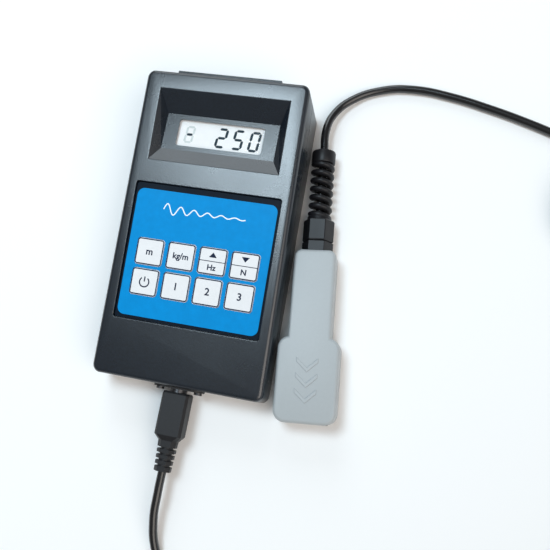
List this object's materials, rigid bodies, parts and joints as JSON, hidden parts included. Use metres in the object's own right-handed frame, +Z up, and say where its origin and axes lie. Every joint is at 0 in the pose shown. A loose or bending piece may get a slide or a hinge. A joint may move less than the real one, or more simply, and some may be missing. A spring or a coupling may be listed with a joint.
{
  "type": "belt tension meter",
  "caption": "Hand-held meter with a sunk display, a blue membrane keypad and a plug-in optical sensor on a lead, for reading the vibration of a tensioned drive belt.",
  "frame": {"origin": "centre of the meter's flat back face, on the table it lies on", "axes": "+Z up from the table through the front face, +Y along the case towards the display end, +X towards the sensor"},
  "size_m": [0.2578, 0.261, 0.0358],
  "materials": {
    "case_plastic": "fine satin texture",
    "battery_can": "satin",
    "black_plastic": "matt",
    "steel": "plated",
    "lens_clear": "clear, glossy",
    "lcd_cell": "pale reflective",
    "contact_rubber": "matt",
    "board_green": "solder mask",
    "capacitor_blue": "sleeved",
    "ivory_plastic": "matt",
    "keypad_black": "matt",
    "overlay_blue": "satin film",
    "key_white": "satin film",
    "contact_brass": "plated",
    "plug_grey": "fine texture",
    "sensor_grey": "satin painted light grey",
    "filter_dark": "clear dark tint",
    "lamp_orange": "clear tint",
    "gland_black": "satin",
    "seal_rubber": "matt",
    "lead_black": "glossy"
  },
  "bodies": {
    "meter": {"front_shell": "case_plastic", "rear_shell": "case_plastic", "battery": "battery_can", "battery_snap": "black_plastic", "case_screws": "steel", "lcd_lens": "lens_clear", "lcd_frame": "black_plastic", "lcd_panel": "lcd_cell", "contact_strips": "contact_rubber", "display_board": "board_green", "display_screws": "steel", "main_board": "board_green", "board_screws": "steel", "processor": "black_plastic", "board_capacitors": "capacitor_blue", "keypad_socket": "ivory_plastic", "keypad_circuit": "keypad_black", "snap_domes": "steel", "keypad_spacer": "keypad_black", "keypad_overlay": "overlay_blue", "socket_shell": "steel", "socket_insert": "black_plastic", "socket_screws": "steel", "plug_shell": "steel", "plug_insert": "black_plastic", "plug_pins": "contact_brass", "plug_body": "plug_grey", "sensor_body": "sensor_grey", "sensor_cover": "sensor_grey", "sensor_screws": "steel", "sensor_board": "board_green", "emitter": "filter_dark", "receiver": "filter_dark", "aiming_lamp": "lamp_orange", "gland_body": "gland_black", "gland_seal": "seal_rubber", "gland_nut": "gland_black", "lead_core": "lead_black", "lead_to_coil": "lead_black", "lead_coil": "lead_black", "lead_tie": "gland_black", "lead_to_plug": "lead_black"},
    "door": {"battery_door": "case_plastic"},
    "key_1": {"key_1": "key_white"},
    "key_2": {"key_2": "key_white"},
    "key_3": {"key_3": "key_white"},
    "key_4": {"key_4": "key_white"},
    "key_5": {"key_5": "key_white"},
    "key_6": {"key_6": "key_white"},
    "key_7": {"key_7": "key_white"},
    "key_8": {"key_8": "key_white"}
  },
  "joints": [
    {"name": "door_slide", "type": "slide", "parent": "meter", "child": "door", "axis": [0, 1, 0], "range_m": [0, 0.034]},
    {"name": "key_1_press", "type": "slide", "parent": "meter", "child": "key_1", "axis": [0, 0.1164, -0.9932], "range_m": [0, 0.00035], "stiffness_N_per_m": 6000},
    {"name": "key_2_press", "type": "slide", "parent": "meter", "child": "key_2", "axis": [0, 0.1164, -0.9932], "range_m": [0, 0.00035], "stiffness_N_per_m": 6000},
    {"name": "key_3_press", "type": "slide", "parent": "meter", "child": "key_3", "axis": [0, 0.1164, -0.9932], "range_m": [0, 0.00035], "stiffness_N_per_m": 6000},
    {"name": "key_4_press", "type": "slide", "parent": "meter", "child": "key_4", "axis": [0, 0.1164, -0.9932], "range_m": [0, 0.00035], "stiffness_N_per_m": 6000},
    {"name": "key_5_press", "type": "slide", "parent": "meter", "child": "key_5", "axis": [0, 0.1164, -0.9932], "range_m": [0, 0.00035], "stiffness_N_per_m": 6000},
    {"name": "key_6_press", "type": "slide", "parent": "meter", "child": "key_6", "axis": [0, 0.1164, -0.9932], "range_m": [0, 0.00035], "stiffness_N_per_m": 6000},
    {"name": "key_7_press", "type": "slide", "parent": "meter", "child": "key_7", "axis": [0, 0.1164, -0.9932], "range_m": [0, 0.00035], "stiffness_N_per_m": 6000},
    {"name": "key_8_press", "type": "slide", "parent": "meter", "child": "key_8", "axis": [0, 0.1164, -0.9932], "range_m": [0, 0.00035], "stiffness_N_per_m": 6000}
  ]
}
